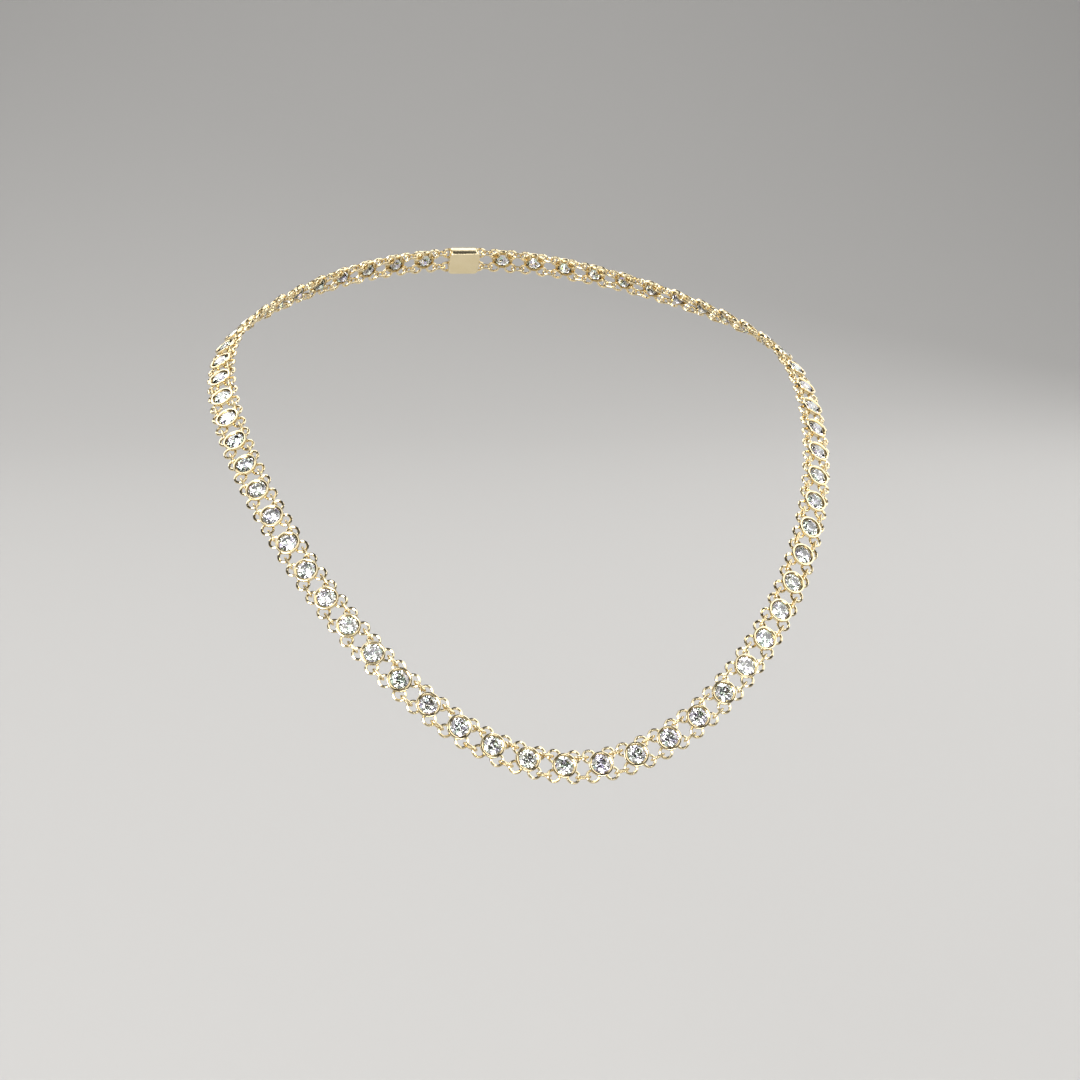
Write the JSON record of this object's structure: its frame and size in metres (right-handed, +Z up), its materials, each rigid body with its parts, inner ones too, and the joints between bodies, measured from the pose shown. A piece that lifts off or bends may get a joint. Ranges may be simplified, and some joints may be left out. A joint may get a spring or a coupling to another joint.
{
  "type": "diamond necklace",
  "caption": "Line necklace of round brilliant stones in plain yellow gold collets, joined edge to edge by pairs of small oval links, closed by a plain box clasp.",
  "frame": {"origin": "middle of the clasp's inner face, where the necklace rests on the nape", "axes": "+Z up, the front of the necklace faces -Y and hangs forward and down from the nape, +X to the right of someone who looks at the front"},
  "size_m": [0.1338, 0.1441, 0.0863],
  "materials": {
    "collet_gold": "polished pale yellow gold, bright on the rims and ring tops",
    "link_gold": "polished pale yellow gold wire",
    "clasp_gold": "polished pale yellow gold, faintly brushed",
    "diamond": "clear faceted brilliant-cut stone"
  },
  "bodies": {
    "root": {"collets_left": "collet_gold", "collets_right": "collet_gold", "diamonds_left": "diamond", "diamonds_right": "diamond", "links_left": "link_gold", "links_right": "link_gold", "clasp": "clasp_gold"}
  },
  "joints": []
}
